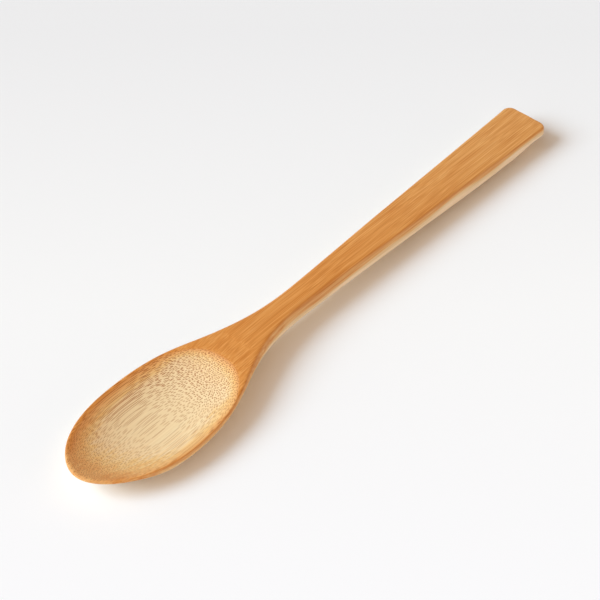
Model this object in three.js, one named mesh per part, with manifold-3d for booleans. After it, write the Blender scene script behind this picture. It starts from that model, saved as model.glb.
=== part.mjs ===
import * as THREE from "three";
import Module from "manifold-3d";

// Curry spoon of bamboo: two lamellae glued flat, then shaped as one. Millimetres, +Z up.
// The spoon lies on z = 0, tip of the bowl at -X, end of the handle at +X.
// A station is the distance along the spoon from the tip.
const length = 195;

// Outline of the bowl: an egg, drawn from the tip to the widest station and on to the neck.
const widest = { station: 30, halfWidth: 16.7 };
const tipArm = 7;
const frontArm = 19.5;
const backArm = 29;

// Neck, and the handle that flares from it with a slight bow to rounded corners.
const neck = { station: 93.6, halfWidth: 4.06, arm: 33.3 };
const handleEnd = { halfWidth: 7.3, corner: 2.4 };
const flareBow = -0.13;

// Top line: two nearly straight runs that meet in a soft bend in front of the neck.
// The rim dips below it along the bowl.
const bend = { station: 72, height: 9.84, softness: 20 };
const bowlRise = 0.0217;
const handleFall = -0.0263;
const dip = { station: 30, depth: 1.95, run: 45 };
const crown = 0.25;

// Rounding of the top edge: fullest where the bowl runs into the neck.
const rimRound = { radius: 0.6, station: 46 };
const neckRound = { radius: 1.4, from: 64, to: 95 };
const handleRound = { radius: 0.7, station: 135 };

// Upright band along the edge: thin at the tip, low round the bowl, deeper along the handle.
const tipBand = { height: 0.9, station: 2 };
const rimBand = { height: 1, from: 18, to: 55 };
const handleBand = { height: 3.9, from: 90, to: 158 };
const endBand = { height: 2.4 };

// Underside: rounded across, lowest under the bowl and under the end of the handle.
// It is drawn thin under the tip and full from the sides of the bowl on.
const bowlBelly = { station: 22, flatTo: 34, height: -0.25, softness: 12 };
const neckBelly = { station: 88, height: 2.5 };
const heelBelly = { fromEnd: 5, height: -0.2, softness: 4 };
const bellyPower = 2.4;
const tipFullness = 1;
const sideFullness = { power: 1.9, from: 6, to: 22 };

// Hollow of the bowl: an oval, blunter towards the neck, that runs out at the rim.
const hollow = { station: 30.2, halfLength: 29, halfWidth: 15.7, floorHeight: 2, lipRise: 0.04 };
const tipPower = 2;
const neckPower = 2.4;
const wallPower = 2.3;
const hollowOverrun = 1.12;

// Glue line between the amber face and the pale back.
const glueHeight = 4.6;

const amber = 0xd58f4d;
const cream = 0xe6c79a;

// How finely each stretch is drawn.
const steps = { tip: 16, back: 22, flare: 14, corner: 4, end: 2, top: 3, edge: 3, belly: 9, ring: 72, wall: 12 };
const margin = 10;

const blend = (from, to, t) => from + (to - from) * t;
const smooth = (t) => {
  const u = THREE.MathUtils.clamp(t, 0, 1);
  return u * u * (3 - 2 * u);
};
const softMax = (a, b, soft) => (a + b + Math.hypot(a - b, soft)) / 2;
const softMin = (a, b, soft) => (a + b - Math.hypot(a - b, soft)) / 2;

const topHeight = (station) => {
  const run = station - bend.station;
  const level = (bowlRise + handleFall) / 2;
  const turn = (handleFall - bowlRise) / 2;
  const swing = THREE.MathUtils.clamp((station - dip.station) / dip.run, -1, 1);
  const sunk = dip.depth * Math.cos((Math.PI / 2) * swing) ** 2;
  return bend.height + level * run + turn * Math.hypot(run, bend.softness) - sunk;
};

const share = (station, from, to) => smooth((station - from) / (to - from));

const bandHeight = (station) => {
  const bowl = blend(tipBand.height, rimBand.height, share(station, tipBand.station, rimBand.from));
  const shaft = blend(bowl, handleBand.height, share(station, rimBand.to, handleBand.from));
  return blend(shaft, endBand.height, share(station, handleBand.to, length));
};

const edgeRadius = (station) => {
  const bowl = blend(rimRound.radius, neckRound.radius, share(station, rimRound.station, neckRound.from));
  return blend(bowl, handleRound.radius, share(station, neckRound.to, handleRound.station));
};

const spineEnd = length - heelBelly.fromEnd;

const spineStation = (station) => {
  const behindTip = softMax(station, bowlBelly.station, bowlBelly.softness);
  return softMin(behindTip, spineEnd, heelBelly.softness);
};

const bellyHeight = (station) => {
  if (station < neckBelly.station) {
    const t = (station - bowlBelly.flatTo) / (neckBelly.station - bowlBelly.flatTo);
    return blend(bowlBelly.height, neckBelly.height, smooth(t));
  }
  const t = (station - neckBelly.station) / (spineEnd - neckBelly.station);
  return blend(neckBelly.height, heelBelly.height, t * t * (2 - t));
};

// How far a rib of the underside has risen, from the spine (0) to the foot of the band (1).
const ribRise = (station, reach) => {
  const side = share(station, sideFullness.from, sideFullness.to);
  const fullness = blend(tipFullness, sideFullness.power, side);
  return 1 - (1 - reach ** bellyPower) ** (1 / fullness);
};

const halfOutline = () => {
  const points = [];
  const fall = (handleEnd.halfWidth - neck.halfWidth) / (length - neck.station);
  const front = new THREE.CubicBezierCurve(
    new THREE.Vector2(0, 0),
    new THREE.Vector2(0, tipArm),
    new THREE.Vector2(widest.station - frontArm, widest.halfWidth),
    new THREE.Vector2(widest.station, widest.halfWidth),
  );
  const back = new THREE.CubicBezierCurve(
    new THREE.Vector2(widest.station, widest.halfWidth),
    new THREE.Vector2(widest.station + backArm, widest.halfWidth),
    new THREE.Vector2(neck.station - neck.arm, neck.halfWidth - fall * neck.arm),
    new THREE.Vector2(neck.station, neck.halfWidth),
  );
  points.push(...front.getPoints(steps.tip).slice(0, -1));
  points.push(...back.getPoints(steps.back).slice(0, -1));
  const cornerStart = length - handleEnd.corner;
  const flareWidth = (station) => {
    const t = (station - neck.station) / (length - neck.station);
    return blend(neck.halfWidth, handleEnd.halfWidth, t) + 4 * flareBow * t * (1 - t);
  };
  for (let i = 0; i < steps.flare; i += 1) {
    const station = blend(neck.station, cornerStart, i / steps.flare);
    points.push(new THREE.Vector2(station, flareWidth(station)));
  }
  const cornerWidth = flareWidth(cornerStart) - handleEnd.corner;
  for (let i = 0; i < steps.corner; i += 1) {
    const angle = (Math.PI / 2) * (1 - i / steps.corner);
    const station = cornerStart + handleEnd.corner * Math.cos(angle);
    points.push(new THREE.Vector2(station, cornerWidth + handleEnd.corner * Math.sin(angle)));
  }
  for (let i = 0; i <= steps.end; i += 1) {
    points.push(new THREE.Vector2(length, cornerWidth * (1 - i / steps.end)));
  }
  return points;
};

const fullOutline = () => {
  const half = halfOutline();
  const other = half.slice(1, -1).reverse();
  return [...half, ...other.map((point) => new THREE.Vector2(point.x, -point.y))];
};

// A loop runs round the outline, drawn in towards the spine by reach (1 edge, 0 spine).
const drawLoop = (outline, reachAt, heightAt) =>
  outline.map((edge) => {
    const spine = spineStation(edge.x);
    const rib = Math.hypot(spine - edge.x, edge.y);
    const reach = reachAt(rib, edge.x);
    const station = blend(spine, edge.x, reach);
    const height = heightAt({ edge: edge.x, spine, station, reach });
    return new THREE.Vector3(station - length / 2, edge.y * reach, height);
  });

const bodyLoops = () => {
  const outline = fullOutline();
  const loops = [];
  const crownAt = (spot) => topHeight(spot.station) + crown * (1 - spot.reach * spot.reach);
  for (let i = 0; i < steps.top; i += 1) {
    const part = i / steps.top;
    loops.push(drawLoop(outline, (rib, edge) => part * (1 - edgeRadius(edge) / rib), crownAt));
  }
  for (let i = 0; i <= steps.edge; i += 1) {
    const angle = ((Math.PI / 2) * i) / steps.edge;
    const inset = 1 - Math.sin(angle);
    const drop = 1 - Math.cos(angle);
    const reachAt = (rib, edge) => 1 - (edgeRadius(edge) * inset) / rib;
    const heightAt = (spot) => crownAt(spot) - edgeRadius(spot.edge) * drop;
    loops.push(drawLoop(outline, reachAt, heightAt));
  }
  for (let i = 0; i <= steps.belly; i += 1) {
    const angle = ((Math.PI / 2) * i) / steps.belly;
    const reach = i === steps.belly ? 0 : Math.cos(angle);
    const heightAt = (spot) => {
      const bandFoot = topHeight(spot.edge) - bandHeight(spot.edge);
      return blend(bellyHeight(spot.spine), bandFoot, ribRise(spot.edge, reach));
    };
    loops.push(drawLoop(outline, () => reach, heightAt));
  }
  return loops;
};

const hollowLoops = () => {
  const loops = [];
  for (let i = 0; i <= steps.wall; i += 1) {
    const spread = (hollowOverrun * (steps.wall - i)) / steps.wall;
    const loop = [];
    for (let j = 0; j < steps.ring; j += 1) {
      const angle = (2 * Math.PI * j) / steps.ring;
      const along = -Math.cos(angle);
      const across = Math.sin(angle);
      const power = 2 / (along < 0 ? tipPower : neckPower);
      const run = Math.sign(along) * Math.abs(along) ** power * hollow.halfLength * spread;
      const reach = Math.sign(across) * Math.abs(across) ** power * hollow.halfWidth * spread;
      const station = hollow.station + run;
      const lip = topHeight(station) + hollow.lipRise;
      const height = blend(hollow.floorHeight, lip, spread ** wallPower);
      loop.push(new THREE.Vector3(station - length / 2, reach, height));
    }
    loops.push(loop);
  }
  const lidHeight = bend.height + margin;
  const lid = loops[0].map(() => new THREE.Vector3(hollow.station - length / 2, 0, lidHeight));
  return [lid, ...loops];
};

const wasm = await Module();
wasm.setup();

// Closed solid from a list of triangles given as corner points; equal corners are joined.
const solidFrom = (triangles) => {
  const numbers = new Map();
  const corners = [];
  const indices = [];
  for (const triangle of triangles) {
    const ids = triangle.map((point) => {
      const key = [point.x, point.y, point.z].map((value) => Math.round(value * 1e5)).join();
      if (!numbers.has(key)) {
        numbers.set(key, numbers.size);
        corners.push(point.x, point.y, point.z);
      }
      return numbers.get(key);
    });
    if (new Set(ids).size === 3) indices.push(...ids);
  }
  const mesh = new wasm.Mesh({
    numProp: 3,
    vertProperties: new Float32Array(corners),
    triVerts: new Uint32Array(indices),
  });
  return new wasm.Manifold(mesh);
};

const solidFromLoops = (loops) => {
  const triangles = [];
  for (let i = 0; i + 1 < loops.length; i += 1) {
    const upper = loops[i];
    const lower = loops[i + 1];
    for (let j = 0; j < upper.length; j += 1) {
      const k = (j + 1) % upper.length;
      triangles.push([upper[j], upper[k], lower[k]]);
      triangles.push([upper[j], lower[k], lower[j]]);
    }
  }
  return solidFrom(triangles);
};

const slab = (bottom, top) => {
  const box = new THREE.BoxGeometry(length + 2 * margin, 4 * widest.halfWidth, top - bottom);
  box.translate(0, 0, (bottom + top) / 2);
  const position = box.getAttribute("position");
  const order = box.getIndex();
  const corner = (i) => new THREE.Vector3().fromBufferAttribute(position, order.getX(i));
  const triangles = [];
  for (let i = 0; i < order.count; i += 3) {
    triangles.push([corner(i), corner(i + 1), corner(i + 2)]);
  }
  return solidFrom(triangles);
};

const nodeFrom = (name, solid, color, roughness) => {
  const mesh = solid.getMesh();
  const geometry = new THREE.BufferGeometry();
  geometry.setAttribute("position", new THREE.BufferAttribute(mesh.vertProperties, mesh.numProp));
  geometry.setIndex(new THREE.BufferAttribute(mesh.triVerts, 1));
  geometry.computeVertexNormals();
  const material = new THREE.MeshStandardMaterial({ color, roughness, metalness: 0 });
  const node = new THREE.Mesh(geometry, material);
  node.name = name;
  return node;
};

const blank = solidFromLoops(bodyLoops());
const scoop = solidFromLoops(hollowLoops());
const shaped = blank.subtract(scoop).subtract(slab(-margin, 0));
const above = slab(glueHeight, glueHeight + margin);

const spoon = new THREE.Group();
spoon.name = "curry_spoon";
spoon.add(nodeFrom("face_lamella", shaped.intersect(above), amber, 0.42));
spoon.add(nodeFrom("back_lamella", shaped.subtract(above), cream, 0.5));

export default spoon;
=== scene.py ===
import math

import bmesh
import bpy
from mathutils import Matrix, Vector


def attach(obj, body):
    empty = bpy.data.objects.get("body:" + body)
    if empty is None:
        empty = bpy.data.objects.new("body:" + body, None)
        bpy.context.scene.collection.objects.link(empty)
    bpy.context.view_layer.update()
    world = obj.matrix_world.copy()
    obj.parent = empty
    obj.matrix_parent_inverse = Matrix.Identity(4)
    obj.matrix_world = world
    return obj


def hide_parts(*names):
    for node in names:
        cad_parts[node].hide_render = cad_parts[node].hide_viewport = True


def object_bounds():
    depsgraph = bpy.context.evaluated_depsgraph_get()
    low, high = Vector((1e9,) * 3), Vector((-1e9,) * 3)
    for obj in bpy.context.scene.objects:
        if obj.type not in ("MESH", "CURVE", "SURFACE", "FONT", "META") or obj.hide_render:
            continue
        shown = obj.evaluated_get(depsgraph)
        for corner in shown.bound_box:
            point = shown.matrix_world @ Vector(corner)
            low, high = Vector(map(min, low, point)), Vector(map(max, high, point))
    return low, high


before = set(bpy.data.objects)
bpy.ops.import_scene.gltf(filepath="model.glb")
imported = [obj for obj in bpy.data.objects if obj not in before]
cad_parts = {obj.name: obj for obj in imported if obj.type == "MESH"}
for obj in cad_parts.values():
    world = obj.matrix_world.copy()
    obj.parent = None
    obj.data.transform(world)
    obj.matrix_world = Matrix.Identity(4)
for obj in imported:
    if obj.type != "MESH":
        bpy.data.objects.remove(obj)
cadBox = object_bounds()
print("frame loaded:", sorted(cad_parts))

mm = 0.001

# sizes in millimetres; a station is the distance from the tip of the bowl
spoonShape = {
    "length": 195.0,
    "widestAt": 30.0, "widestHalf": 16.7, "tipArm": 7.0, "frontArm": 19.5, "backArm": 29.0,
    "neckAt": 93.6, "neckHalf": 4.06, "neckArm": 33.3,
    "endHalf": 7.3, "endCorner": 2.4, "flareBow": -0.13,
    "bendAt": 72.0, "bendHeight": 9.84, "bendSoftness": 20.0,
    "bowlRise": 0.0217, "handleFall": -0.0263,  # slopes of the top line on either side of the bend
    "dip": 1.95, "dipAt": 30.0, "dipRun": 45.0,  # the rim sinks along the bowl
    "crown": 0.25,
    "rimRadius": 0.6, "rimRadiusTo": 46.0, "neckRadius": 1.4, "neckFrom": 64.0, "neckTo": 95.0,
    "handleRadius": 0.7, "handleRadiusFrom": 135.0,
    # upright band under the top edge: thin at the rim, tall along the handle
    "tipBand": 0.9, "tipBandTo": 2.0, "rimBand": 1.0, "rimBandFrom": 18.0, "rimBandTo": 55.0,
    "handleBand": 3.9, "handleBandFrom": 90.0, "handleBandTo": 158.0, "endBand": 2.4,
    "bowlBelly": -0.25, "bowlBellyAt": 22.0, "bowlFlatTo": 34.0, "bowlSoftness": 12.0,
    "neckBelly": 2.5, "neckBellyAt": 88.0,
    "heelBelly": -0.2, "heelFromEnd": 5.0, "heelSoftness": 4.0,
    "bellyPower": 2.4, "tipFullness": 1.0, "fullness": 1.9, "fullFrom": 6.0, "fullTo": 22.0,
    "endFullness": 0.85, "easeFrom": 179.0, "easeTo": 191.0,  # lower edge at the end, sanded rounder
    "glueHeight": 4.6,
}

bowlHollow = {
    "at": 30.2, "halfLength": 29.0, "halfWidth": 15.7, "floorHeight": 2.0, "lipRise": 0.04,
    "tipPower": 2.0, "neckPower": 2.4, "wallPower": 2.3,
    "lipSoftness": 0.4, "neckLipSoftness": 0.3, "lipFrom": 44.0, "lipTo": 56.0, "lipZone": 1.4,
    "lipOutside": 0.4,  # share of the lip zone that lies outside the hollow
    "landCrown": 0.15,  # share of the handle's crown that the rim keeps
}

meshSteps = {
    "tip": 64, "back": 96, "flare": 110, "corner": 10, "across": 24,
    "edge": 6, "band": 4, "belly": 26, "floor": 30, "lip": 9, "land": 9, "landGrowth": 1.6,
    "cutAt": 66.0,  # where the bowl's rays give way to the handle's rows
    "weld": 2e-6, "sliver": 1e-7,  # metres
    "crease": 50.0,  # degrees
}


def mix(a, b, t):
    return a + (b - a) * t


def smooth(t):
    u = min(max(t, 0.0), 1.0)
    return u * u * (3 - 2 * u)


def softMax(a, b, soft):
    return (a + b + math.hypot(a - b, soft)) / 2


def softMin(a, b, soft):
    return (a + b - math.hypot(a - b, soft)) / 2


def topHeight(station):
    s = spoonShape
    run = station - s["bendAt"]
    level = (s["bowlRise"] + s["handleFall"]) / 2
    turn = (s["handleFall"] - s["bowlRise"]) / 2
    sunk = math.cos(math.pi / 2 * min(max((station - s["dipAt"]) / s["dipRun"], -1.0), 1.0)) ** 2
    return s["bendHeight"] + level * run + turn * math.hypot(run, s["bendSoftness"]) - s["dip"] * sunk


def share(station, low, high):
    return smooth((station - low) / (high - low))


def bandHeight(station):
    s = spoonShape
    bowl = mix(s["tipBand"], s["rimBand"], share(station, s["tipBandTo"], s["rimBandFrom"]))
    shaft = mix(bowl, s["handleBand"], share(station, s["rimBandTo"], s["handleBandFrom"]))
    return mix(shaft, s["endBand"], share(station, s["handleBandTo"], s["length"]))


def edgeRadius(station):
    s = spoonShape
    bowl = mix(s["rimRadius"], s["neckRadius"], share(station, s["rimRadiusTo"], s["neckFrom"]))
    return mix(bowl, s["handleRadius"], share(station, s["neckTo"], s["handleRadiusFrom"]))


def spineStation(station):
    s = spoonShape
    behindTip = softMax(station, s["bowlBellyAt"], s["bowlSoftness"])
    return softMin(behindTip, s["length"] - s["heelFromEnd"], s["heelSoftness"])


def bellyHeight(station):
    s = spoonShape
    if station < s["neckBellyAt"]:
        t = (station - s["bowlFlatTo"]) / (s["neckBellyAt"] - s["bowlFlatTo"])
        return mix(s["bowlBelly"], s["neckBelly"], smooth(t))
    t = (station - s["neckBellyAt"]) / (s["length"] - s["heelFromEnd"] - s["neckBellyAt"])
    return mix(s["neckBelly"], s["heelBelly"], t * t * (2 - t))


# how far a rib of the underside has risen from the spine (0) to the foot of the band (1)
def ribRise(station, reach):
    s = spoonShape
    full = mix(s["tipFullness"], s["fullness"], share(station, s["fullFrom"], s["fullTo"]))
    full = mix(full, s["endFullness"], share(station, s["easeFrom"], s["easeTo"]))
    return 1 - (1 - reach ** s["bellyPower"]) ** (1 / full)


def bezier(a, b, c, d, t):
    u = 1 - t
    weights = (u**3, 3 * u * u * t, 3 * u * t * t, t**3)
    return tuple(sum(w * p for w, p in zip(weights, axis)) for axis in zip(a, b, c, d))


def flareWidth(station):
    s = spoonShape
    t = (station - s["neckAt"]) / (s["length"] - s["neckAt"])
    return mix(s["neckHalf"], s["endHalf"], t) + 4 * s["flareBow"] * t * (1 - t)


# half of the outline from the tip to the middle of the end edge
def halfOutline():
    s, n = spoonShape, meshSteps
    fall = (s["endHalf"] - s["neckHalf"]) / (s["length"] - s["neckAt"])
    widest = (s["widestAt"], s["widestHalf"])
    neck = (s["neckAt"], s["neckHalf"])
    points = []
    front = (widest[0] - s["frontArm"], widest[1])
    for i in range(n["tip"]):
        points.append(bezier((0, 0), (0, s["tipArm"]), front, widest, i / n["tip"]))
    rear = (widest[0] + s["backArm"], widest[1])
    lead = (neck[0] - s["neckArm"], neck[1] - fall * s["neckArm"])
    for i in range(n["back"]):
        points.append(bezier(widest, rear, lead, neck, i / n["back"]))
    cornerAt = s["length"] - s["endCorner"]
    for i in range(n["flare"]):
        station = mix(s["neckAt"], cornerAt, i / n["flare"])
        points.append((station, flareWidth(station)))
    cornerMiddle = flareWidth(cornerAt) - s["endCorner"]
    for i in range(n["corner"]):
        angle = math.pi / 2 * (1 - i / n["corner"])
        swing = (s["endCorner"] * math.cos(angle), s["endCorner"] * math.sin(angle))
        points.append((cornerAt + swing[0], cornerMiddle + swing[1]))
    halfAcross = n["across"] // 2
    for i in range(halfAcross + 1):
        points.append((s["length"], cornerMiddle * (1 - i / halfAcross)))
    return points


# 0 at the deepest point of the hollow, 1 at its outline
def hollowSpread(station, across):
    h = bowlHollow
    run = station - h["at"]
    power = h["tipPower"] if run < 0 else h["neckPower"]
    lengthwise, crosswise = abs(run) / h["halfLength"], abs(across) / h["halfWidth"]
    return (lengthwise**power + crosswise**power) ** (1 / power)


def hollowHeight(station, spread):
    h = bowlHollow
    return mix(h["floorHeight"], topHeight(station) + h["lipRise"], spread ** h["wallPower"])


# the face with the hollow let into it over a rounded lip
def faceHeight(station, across, lift):
    h = bowlHollow
    soft = mix(h["lipSoftness"], h["neckLipSoftness"], share(station, h["lipFrom"], h["lipTo"]))
    hollow = hollowHeight(station, hollowSpread(station, across))
    return softMin(topHeight(station) + lift, hollow, soft)


# the whole spoon as one closed skin of quads
class SpoonSkin:
    def __init__(self):
        self.spots = []
        self.points = []
        self.faces = []
        half = halfOutline()
        other = [(p[0], -p[1]) for p in reversed(half[1:-1])]
        self.outline = half + other
        self.endStart = len(half) - 1 - meshSteps["across"] // 2
        self.cutIndex = next(i for i, p in enumerate(half) if p[0] > meshSteps["cutAt"])

    def add(self, station, across, height):
        self.spots.append((station, across))
        x = station - spoonShape["length"] / 2
        self.points.append((x * mm, across * mm, height * mm))
        return len(self.points) - 1

    def loop(self, reachAt, heightAt):
        made = []
        for edge, side in self.outline:
            spine = spineStation(edge)
            reach = reachAt(edge, math.hypot(spine - edge, side))
            station, across = mix(spine, edge, reach), side * reach
            made.append(self.add(station, across, heightAt(edge, spine, station, across, reach)))
        return made

    def bridge(self, upper, lower, closed=True):
        count = len(upper) if closed else len(upper) - 1
        for j in range(count):
            k = (j + 1) % len(upper)
            self.faces.append((upper[j], upper[k], lower[k], lower[j]))

    def sides(self):
        s, n = spoonShape, meshSteps
        loops = []
        for i in range(n["edge"] + 1):
            angle = math.pi / 2 * i / n["edge"]
            inset, drop = 1 - math.sin(angle), 1 - math.cos(angle)

            def edgeReach(edge, rib):
                return 1 - edgeRadius(edge) * inset / rib

            def edgeHeight(edge, spine, station, across, reach):
                lift = s["crown"] * (1 - reach * reach)
                return faceHeight(station, across, lift) - edgeRadius(edge) * drop

            loops.append(self.loop(edgeReach, edgeHeight))
        for i in range(1, n["band"]):
            part = i / n["band"]

            def bandLevel(edge, *spot):
                return topHeight(edge) - mix(edgeRadius(edge), bandHeight(edge), part)

            loops.append(self.loop(lambda edge, rib: 1.0, bandLevel))
        for i in range(n["belly"] + 1):
            inward = 0.0 if i == n["belly"] else math.cos(math.pi / 2 * i / n["belly"])

            def bellyLevel(edge, spine, *spot):
                foot = topHeight(edge) - bandHeight(edge)
                return mix(bellyHeight(spine), foot, ribRise(edge, inward))

            loops.append(self.loop(lambda edge, rib: inward, bellyLevel))
        for upper, lower in zip(loops, loops[1:]):
            self.bridge(upper, lower)
        return loops[0]

    def handleTop(self, rim):
        s, n = spoonShape, meshSteps
        total = len(self.outline)
        rows = []
        for i in range(self.cutIndex, self.endStart):
            left, right = rim[i], rim[total - i]
            station, leftSide = self.spots[left]
            reach = leftSide / self.outline[i][1]
            row = [left]
            for k in range(1, n["across"]):
                turn = 1 - 2 * k / n["across"]
                lift = s["crown"] * (1 - (reach * turn) ** 2)
                side = leftSide * turn
                row.append(self.add(station, side, faceHeight(station, side, lift)))
            rows.append(row + [right])
        rows.append(rim[self.endStart:total - self.endStart + 1])
        for first, second in zip(rows, rows[1:]):
            self.bridge(second, first, closed=False)
        return rows[0]

    def bowlTop(self, rim, crossRow):
        h, n = bowlHollow, meshSteps
        total = len(self.outline)
        border = [rim[i] for i in range(self.cutIndex, -1, -1)]
        border += [rim[i] for i in range(total - 1, total - self.cutIndex - 1, -1)]
        border += list(reversed(crossRow[1:-1]))
        rays = []
        centre = self.add(h["at"], 0, faceHeight(h["at"], 0, 0))
        for index in border:
            station, across = self.spots[index]
            outer = hollowSpread(station, across)
            zone = h["lipZone"] * outer / math.hypot(station - h["at"], across)
            knee = min(1.0, outer - h["lipOutside"] * zone)
            inner = knee - zone
            spreads = [inner * (i + 1) / n["floor"] for i in range(n["floor"])]
            spreads += [mix(inner, knee, (i + 1) / n["lip"]) for i in range(n["lip"])]
            land = [((i + 1) / n["land"]) ** n["landGrowth"] for i in range(n["land"] - 1)]
            spreads += [mix(knee, outer, part) for part in land]
            ray = []
            for spread in spreads:
                t = spread / outer
                spot = (mix(h["at"], station, t), across * t)
                ray.append(self.add(*spot, faceHeight(*spot, spoonShape["crown"] * h["landCrown"])))
            rays.append(ray + [index])
        for j, ray in enumerate(rays):
            following = rays[(j + 1) % len(rays)]
            self.faces.append((centre, following[0], ray[0]))
            for i in range(len(ray) - 1):
                self.faces.append((ray[i], following[i], following[i + 1], ray[i + 1]))

    def build(self):
        rim = self.sides()
        crossRow = self.handleTop(rim)
        self.bowlTop(rim, crossRow)
        bm = bmesh.new()
        made = [bm.verts.new(p) for p in self.points]
        for face in self.faces:
            bm.faces.new([made[i] for i in face])
        bmesh.ops.remove_doubles(bm, verts=bm.verts, dist=meshSteps["weld"])
        bmesh.ops.dissolve_degenerate(bm, edges=bm.edges, dist=meshSteps["sliver"])
        bmesh.ops.recalc_face_normals(bm, faces=bm.faces)
        return bm


# keeps one side of a level cut and closes it with a flat face
def trimAt(bm, height, keepUpper):
    geometry = bm.verts[:] + bm.edges[:] + bm.faces[:]
    cut = bmesh.ops.bisect_plane(
        bm, geom=geometry, dist=meshSteps["sliver"], plane_co=(0, 0, height * mm),
        plane_no=(0, 0, 1), clear_inner=keepUpper, clear_outer=not keepUpper,
    )
    edges = [e for e in cut["geom_cut"] if isinstance(e, bmesh.types.BMEdge) and e.is_boundary]
    filled = bmesh.ops.triangle_fill(bm, use_beauty=True, edges=edges)
    for face in filled["geom"]:
        if isinstance(face, bmesh.types.BMFace):
            face.smooth = False
    bmesh.ops.recalc_face_normals(bm, faces=bm.faces)


# amber culm skin over cream heart: how far the colour has turned, in steps of about a millimetre
amberSkin = {
    "stations": [0.0, 50.0, 70.0, 92.0, 110.0, 125.0, 140.0, 155.0, 170.0, 185.0, 195.0],
    "depths": [2.0, 1.9, 2.5, 3.3, 2.7, 2.4, 2.6, 1.7, 2.0, 1.25, 1.2],
    "edgeTurn": 1.8, "edgeDepth": 0.6, "sideTurn": 8.1, "sideSoftness": 1.2,
    # pace of the change down the walls of the hollow, and where it stops
    "hollowPace": 1.5, "neckPace": 2.3, "neckFrom": 44.0, "neckTo": 56.0,
    # on the far wall, which faces away from the sun, the colour turns pale sooner: painted light on that
    # shaded wall, laid over the bamboo's own change of tone
    "farPaintedLightPace": 1.65, "farPaintedLightTo": 10.0, "nearPace": 1.15, "nearTo": 12.0,
    "tipPace": 0.7, "tipPaceTo": 36.0,
    "deepest": 7.1, "neckDeepest": 5.1, "deepSoftness": 1.0,
    # head start along the near rim and at the tip
    "nearLift": 1.9, "liftFrom": 7.0, "liftTo": 14.0, "tipLift": 2.0, "tipLiftTo": 8.0,
    # spread at which the hollow's look begins, and what counts as its surface
    "hollowFrom": 1.07, "neckHollowFrom": 1.02, "hollowBlend": 0.05,
    "hollowReach": 1.3, "hollowSlack": 0.6,
    # strength of the fibre marks, less at the tip and on the near side
    "tipMarks": 0.6, "marksFrom": 16.0, "marksTo": 40.0,
    "nearMarks": 0.45, "nearMarksFrom": 2.0, "nearMarksTo": 9.0,
}


def amberDepth(station):
    stations, depths = amberSkin["stations"], amberSkin["depths"]
    for i in range(len(stations) - 1):
        if station <= stations[i + 1]:
            t = (station - stations[i]) / (stations[i + 1] - stations[i])
            return mix(depths[i], depths[i + 1], smooth(t))
    return depths[-1]


def turnOutside(station, below):
    a = amberSkin
    past = (below - amberDepth(station)) / a["sideSoftness"]
    return a["edgeTurn"] * smooth(below / a["edgeDepth"]) + a["sideTurn"] * smooth((past + 1) / 2)


def turnInside(station, across, below):
    a = amberSkin
    atNeck = share(station, a["neckFrom"], a["neckTo"])
    pace = a["hollowPace"] * mix(1.0, a["neckPace"], atNeck)
    pace *= mix(a["tipPace"], 1.0, share(station, 0.0, a["tipPaceTo"]))
    # painted light: the shaded far wall turns pale sooner, on top of its own tone
    pace *= mix(1.0, a["farPaintedLightPace"], share(across, 0.0, a["farPaintedLightTo"]))
    pace *= mix(1.0, a["nearPace"], share(-across, 0.0, a["nearTo"]))
    lift = a["nearLift"] * share(-across, a["liftFrom"], a["liftTo"])
    lift += a["tipLift"] * (1 - share(station, 0.0, a["tipLiftTo"]))
    deepest = mix(a["deepest"], a["neckDeepest"], atNeck)
    return softMin(max(below, 0.0) * pace + lift, deepest, a["deepSoftness"])


# how strongly the hollow's fibre marks show, 0 outside it
def hollowMarks(station, across, within):
    a = amberSkin
    marks = mix(a["tipMarks"], 1.0, share(station, a["marksFrom"], a["marksTo"]))
    nearSide = share(-across, a["nearMarksFrom"], a["nearMarksTo"])
    nearSide *= 1 - share(station, a["marksTo"], a["neckTo"])
    return within * marks * mix(1.0, a["nearMarks"], nearSide)


def lamella(name, node, bm):
    mesh = bpy.data.meshes.new(name)
    bm.to_mesh(mesh)
    bm.free()
    turned = mesh.attributes.new("turned", "FLOAT", "POINT")
    hollow = mesh.attributes.new("hollow", "FLOAT", "POINT")
    a = amberSkin
    for i, vertex in enumerate(mesh.vertices):
        station = vertex.co.x / mm + spoonShape["length"] / 2
        across, height = vertex.co.y / mm, vertex.co.z / mm
        spread = hollowSpread(station, across)
        below = topHeight(station) - height
        onHollow = height > hollowHeight(station, spread) - a["hollowSlack"]
        inside = onHollow and spread < a["hollowReach"]
        edge = mix(a["hollowFrom"], a["neckHollowFrom"], share(station, a["neckFrom"], a["neckTo"]))
        within = smooth((edge - spread) / a["hollowBlend"]) if inside else 0.0
        hollow.data[i].value = hollowMarks(station, across, within)
        outer, inner = turnOutside(station, below), turnInside(station, across, below)
        turned.data[i].value = mix(outer, inner, within)
    mesh.set_sharp_from_angle(angle=math.radians(meshSteps["crease"]))
    piece = bpy.data.objects.new(name, mesh)
    bpy.context.scene.collection.objects.link(piece)
    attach(piece, "root")
    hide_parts(node)
    return piece


def spoonPieces():
    whole = SpoonSkin().build()
    for face in whole.faces:
        face.smooth = True
    trimAt(whole, 0.0, True)
    for vertex in whole.verts:
        vertex.co.z = min(max(vertex.co.z, cadBox[0][2]), cadBox[1][2])
    upper, lower = whole.copy(), whole.copy()
    whole.free()
    trimAt(upper, spoonShape["glueHeight"], True)
    trimAt(lower, spoonShape["glueHeight"], False)
    face = lamella("faceLamella", "face_lamella", upper)
    back = lamella("backLamella", "back_lamella", lower)
    print("spoon skin:", len(face.data.polygons), "+", len(back.data.polygons), "faces")
    return face, back


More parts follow.
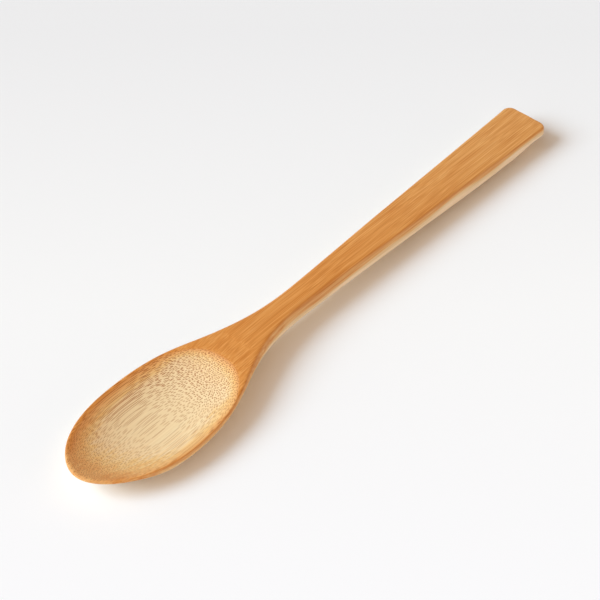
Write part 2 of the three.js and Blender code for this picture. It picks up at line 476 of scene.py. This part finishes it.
# a socket that takes part in Python expressions; each operation adds its node
class Wire:
    def __init__(self, tree, socket):
        self.tree = tree
        self.socket = socket

    def node(self, kind, settings=None, sockets=None, out=0):
        made = self.tree.nodes.new("ShaderNode" + kind)
        for name, value in (settings or {}).items():
            if name == "stops":
                ramp = made.color_ramp
                while len(ramp.elements) < len(value):
                    ramp.elements.new(0.5)
                for element, (position, colour) in zip(ramp.elements, value):
                    element.position = position
                    element.color = colour
            else:
                setattr(made, name, value)
        for name, value in (sockets or {}).items():
            if isinstance(value, Wire):
                self.tree.links.new(value.socket, made.inputs[name])
            else:
                made.inputs[name].default_value = value
        return Wire(self.tree, made.outputs[out] if made.outputs else None)

    def also(self, out):
        return Wire(self.tree, self.socket.node.outputs[out])

    def maths(self, operation, first, second):
        return self.node("Math", {"operation": operation}, {0: first, 1: second})

    def __add__(self, other):
        return self.maths("ADD", self, other)

    def __radd__(self, other):
        return self.maths("ADD", other, self)

    def __sub__(self, other):
        return self.maths("SUBTRACT", self, other)

    def __rsub__(self, other):
        return self.maths("SUBTRACT", other, self)

    def __mul__(self, other):
        return self.maths("MULTIPLY", self, other)

    def __rmul__(self, other):
        return self.maths("MULTIPLY", other, self)

    def __truediv__(self, other):
        return self.maths("DIVIDE", self, other)

    def __rtruediv__(self, other):
        return self.maths("DIVIDE", other, self)

    def ease(self, low, high):
        sockets = {"Value": self, "From Min": low, "From Max": high}
        return self.node("MapRange", {"interpolation_type": "SMOOTHSTEP"}, sockets)

    def ramp(self, stops):
        return self.node("ValToRGB", {"stops": stops}, {0: self})

    def tint(self, first, second):
        return self.node("Mix", {"data_type": "RGBA"}, {0: self, 6: first, 7: second}, out=2)


def srgb(r, g, b):
    def linear(v):
        c = v / 255
        return c / 12.92 if c <= 0.04045 else ((c + 0.055) / 1.055) ** 2.4
    return linear(r), linear(g), linear(b), 1.0


def startMaterial(name):
    material = bpy.data.materials.new(name)
    material.use_nodes = True
    tree = material.node_tree
    tree.nodes.clear()
    return material, Wire(tree, None)


# scales are per millimetre along, across and up
bambooLook = {
    "waver": 0.4, "waverScale": (0.03, 0.2, 0.3),
    "pitchAcross": 0.63, "pitchDeep": 0.21, "layerLean": 0.5, "layerShift": 90.6,
    "bundleRadius": 0.29, "bundleEdge": 0.09, "scatter": 0.62, "faintest": 0.65,
    "streakScale": (0.035, 3.3, 3.3), "cloudScale": (0.008, 0.8, 0.5), "streakShare": 0.75,
    "ragged": 9.0, "raggedScale": (0.05, 1.1, 1.1), "raggedFrom": 0.3, "raggedTo": 2.0,
    "neckAmber": [(0.34, srgb(199, 122, 50)), (0.5, srgb(213, 139, 65)), (0.68, srgb(225, 158, 86))],
    "endAmber": [(0.34, srgb(200, 133, 66)), (0.5, srgb(213, 149, 81)), (0.68, srgb(225, 168, 102))],
    "amberFrom": -10.0, "amberTo": 95.0, "amberFade": 1.2,
    "turnSpan": 10.0,
    "turnStops": [
        (0.0, srgb(209, 139, 74)), (0.1, srgb(219, 155, 91)),
        (0.2, srgb(227, 169, 103)), (0.3, srgb(230, 178, 111)),
        (0.43, srgb(232, 191, 128)), (0.56, srgb(233, 200, 152)),
        (0.74, srgb(236, 211, 166)), (1.0, srgb(250, 229, 199)),
    ],
    "paleLine": srgb(252, 226, 184), "paleShare": 0.35, "paleFrom": 1.0, "paleTo": 4.0,
    "paleStreakFrom": 0.45, "paleStreakTo": 0.75,
    "bundle": srgb(156, 80, 24), "bundleShare": 1.0, "outsideShare": 0.14,
    "bundleFade": 0.58, "fadeAbove": 3.0, "floor": bowlHollow["floorHeight"],  # fainter low in the bowl
    "roughness": 0.5, "roughSpread": 0.2, "gloss": 0.25,
    "bumpStrength": 0.25, "bumpDepth": 0.00006, "streakBump": 0.4, "bundleBump": 0.6,
}


# noise drawn out along the fibres
def fibreNoise(spots, scales, detail, out="Fac"):
    drawn = {i: spot * scale for i, (spot, scale) in enumerate(zip(spots, scales))}
    place = spots[0].node("CombineXYZ", None, drawn)
    return place.node("TexNoise", None, {"Vector": place, "Scale": 1.0, "Detail": detail}, out=out)


def bamboo(name, look):
    material, start = startMaterial(name)
    position = start.node("TexCoord", out="Object")
    axes = start.node("SeparateXYZ", None, {0: position})
    along, across, up = (axes.also(i) * (1 / mm) for i in range(3))
    turned = start.node("Attribute", {"attribute_name": "turned"}, out="Fac")
    hollow = start.node("Attribute", {"attribute_name": "hollow"}, out="Fac")

    # fibres run along the spoon and waver a little
    waver = fibreNoise((along, across, up), look["waverScale"], detail=2.0, out="Color")
    wave = start.node("SeparateColor", None, {0: waver})
    fibreAcross = across + (wave - 0.5) * (2 * look["waver"])
    fibreUp = up + (wave.also(1) - 0.5) * (2 * look["waver"])
    fibres = along, fibreAcross, fibreUp

    # fibre bundles: small spots in the cross section, long streaks along it
    layer = fibreUp / look["pitchDeep"]
    column = fibreAcross / look["pitchAcross"] + layer * look["layerLean"]
    section = start.node("CombineXYZ", None, {0: column, 1: layer + look["layerShift"]})
    bundles = start.node("TexVoronoi", {"voronoi_dimensions": "2D"}, {
        "Vector": section, "Scale": 1.0, "Randomness": look["scatter"],
    })
    cell = start.node("SeparateColor", None, {0: bundles.also("Color")})
    radius, edge = look["bundleRadius"], look["bundleEdge"]
    strength = look["faintest"] + (1 - look["faintest"]) * cell
    spot = bundles.ease(radius + edge, radius - edge) * strength

    streak = fibreNoise(fibres, look["streakScale"], detail=1.0)
    cloud = fibreNoise(fibres, look["cloudScale"], detail=2.0)

    # the change from amber to cream runs out in streaks
    patch = fibreNoise(fibres, look["raggedScale"], detail=2.0)
    loose = turned.ease(look["raggedFrom"], look["raggedTo"]) * (1 - hollow)
    turned = turned + (patch - 0.5) * loose * look["ragged"]

    # amber face, cream heart with pale lines, bundles on top
    grain = streak * look["streakShare"] + cloud * (1 - look["streakShare"])
    towardsEnd = along.ease(look["amberFrom"], look["amberTo"])
    face = towardsEnd.tint(grain.ramp(look["neckAmber"]), grain.ramp(look["endAmber"]))
    heart = (turned / look["turnSpan"]).ramp(look["turnStops"])
    ground = turned.ease(0.0, look["amberFade"]).tint(face, heart)
    pale = turned.ease(look["paleFrom"], look["paleTo"]) * look["paleShare"]
    pale = pale * streak.ease(look["paleStreakFrom"], look["paleStreakTo"])
    ground = pale.tint(ground, look["paleLine"])
    fade = 1 - look["bundleFade"] * (look["floor"] - up).ease(-look["fadeAbove"], 0.0)
    marked = spot * (hollow * fade * look["bundleShare"] + (1 - hollow) * look["outsideShare"])
    colour = marked.tint(ground, look["bundle"])

    rough = look["roughness"] + (streak - 0.5) * look["roughSpread"]
    height = streak * look["streakBump"] - spot * look["bundleBump"]
    bump = start.node("Bump", None, {
        "Strength": look["bumpStrength"], "Distance": look["bumpDepth"], "Height": height,
    })
    shader = start.node("BsdfPrincipled", None, {
        "Base Color": colour, "Roughness": rough, "Normal": bump, "Specular IOR Level": look["gloss"],
    })
    start.node("OutputMaterial", None, {"Surface": shader})
    return material


photoView = {
    "turn": 49.77, "elevation": 43.06, "distance": 1.2,
    "pixels": 600, "pixelsPerMm": 3.5687,  # at the aim point
    "middle": (12.67, 5.82),  # pixels by which the origin lies right of and below the picture's centre
    "sensor": 36.0, "clip": (0.05, 20.0),
}


def photoCamera():
    v = photoView
    turn, tilt = math.radians(v["turn"]), math.radians(v["elevation"])
    right = Vector((math.cos(turn), -math.sin(turn), 0))
    away = Vector((math.sin(turn), math.cos(turn), 0))
    back = -away * math.cos(tilt) + Vector((0, 0, math.sin(tilt)))
    above = away * math.sin(tilt) + Vector((0, 0, math.cos(tilt)))
    aim = (above * v["middle"][1] - right * v["middle"][0]) / v["pixelsPerMm"] * mm
    camera = bpy.data.cameras.new("camera")
    camera.sensor_width = v["sensor"]
    camera.lens = v["pixelsPerMm"] * v["distance"] / mm / v["pixels"] * v["sensor"]
    camera.clip_start, camera.clip_end = v["clip"]
    holder = bpy.data.objects.new("camera", camera)
    holder.location = aim + back * v["distance"]
    holder.rotation_mode = "QUATERNION"
    holder.rotation_quaternion = (-back).to_track_quat("-Z", "Y")
    bpy.context.scene.collection.objects.link(holder)
    bpy.context.scene.camera = holder


studio = {
    "floorSize": 3.0, "floorSteps": 8, "floorDrop": 0.00002, "floorRoughness": 0.9,
    # painted light on the floor: its colour is lighter near the camera and darker far off, standing in
    # for the light falling off
    "floorPaintedLightNear": srgb(250, 250, 252), "floorPaintedLightMiddle": srgb(247, 247, 247),
    "floorPaintedShadeFar": srgb(236, 236, 237), "floorPaintedFalloffReach": 121.0,  # reach of the painted light falloff either way, in millimetres
    "ambient": (0.36, 0.25, 0.165, 1.0), "backdrop": srgb(238, 238, 238),
    "glow": (1.25, 1.20, 1.14, 1.0), "glowFade": 0.48,  # soft patch of light round the sun
    "fill": (1.35, 1.01, 0.75, 1.0), "fillFrom": (0.3, -0.952, 0.05), "fillFade": 0.64,
    "sunFrom": (-0.609, 0.410, 0.554), "sunSpread": 0.62,
    "sunStrength": 4.068, "sunTint": (0.455, 0.585, 0.69),
}


def studioFloor():
    material, start = startMaterial("paleFloor")
    position = start.node("TexCoord", out="Object")
    axes = start.node("SeparateXYZ", None, {0: position})
    turn = math.radians(photoView["turn"])
    away = axes * (math.sin(turn) / mm) + axes.also(1) * (math.cos(turn) / mm)
    # painted light: the floor's colour fades from near to far as the light falls off
    stops = [(0.0, studio["floorPaintedLightNear"]), (0.5, studio["floorPaintedLightMiddle"]), (1.0, studio["floorPaintedShadeFar"])]
    paintedFalloff = (away / (2 * studio["floorPaintedFalloffReach"]) + 0.5).ramp(stops)
    shader = start.node("BsdfPrincipled", None, {
        "Base Color": paintedFalloff, "Roughness": studio["floorRoughness"], "Specular IOR Level": 0.0,
    })
    start.node("OutputMaterial", None, {"Surface": shader})
    bm = bmesh.new()
    steps = studio["floorSteps"]
    bmesh.ops.create_grid(bm, x_segments=steps, y_segments=steps, size=studio["floorSize"] / 2)
    mesh = bpy.data.meshes.new("floor")
    bm.to_mesh(mesh)
    bm.free()
    mesh.materials.append(material)
    floor = bpy.data.objects.new("floor", mesh)
    bpy.context.scene.collection.objects.link(floor)
    floor.location.z = -studio["floorDrop"]


def studioLight():
    world = bpy.data.worlds.new("softRoom")
    world.use_nodes = True
    world.node_tree.nodes.clear()
    start = Wire(world.node_tree, None)
    facing = start.node("TexCoord", out="Generated")
    direction = Vector(studio["sunFrom"]).normalized()

    def towards(aim):
        return start.node("VectorMath", {"operation": "DOT_PRODUCT"}, {0: facing, 1: aim}, out="Value")

    fill = towards(studio["fillFrom"]).ease(studio["fillFade"], 1.0)
    glow = towards(direction).ease(studio["glowFade"], 1.0)
    light = glow.tint(fill.tint(studio["ambient"], studio["fill"]), studio["glow"])

    # what is seen behind the floor, directly or mirrored, is the plain backdrop
    path = start.node("LightPath", out="Is Camera Ray")
    seen = path.maths("MAXIMUM", path, path.also("Is Glossy Ray"))
    seen = path.maths("MAXIMUM", seen, path.also("Is Transmission Ray"))
    colour = seen.tint(light, studio["backdrop"])
    background = start.node("Background", None, {"Color": colour, "Strength": 1.0})
    start.node("OutputWorld", None, {"Surface": background})
    bpy.context.scene.world = world
    lamp = bpy.data.lights.new("windowLight", "SUN")
    lamp.angle = studio["sunSpread"]
    lamp.energy = studio["sunStrength"]
    lamp.color = studio["sunTint"]
    holder = bpy.data.objects.new("windowLight", lamp)
    holder.location = direction
    holder.rotation_mode = "QUATERNION"
    holder.rotation_quaternion = (-direction).to_track_quat("-Z", "Y")
    bpy.context.scene.collection.objects.link(holder)


faceLamella, backLamella = spoonPieces()
faceLamella.data.materials.append(bamboo("faceBamboo", bambooLook))
backLamella.data.materials.append(bamboo("backBamboo", bambooLook))
print("bamboo done")
studioFloor()
studioLight()
photoCamera()
bpy.context.scene.view_settings.view_transform = "Standard"
print("studio done")
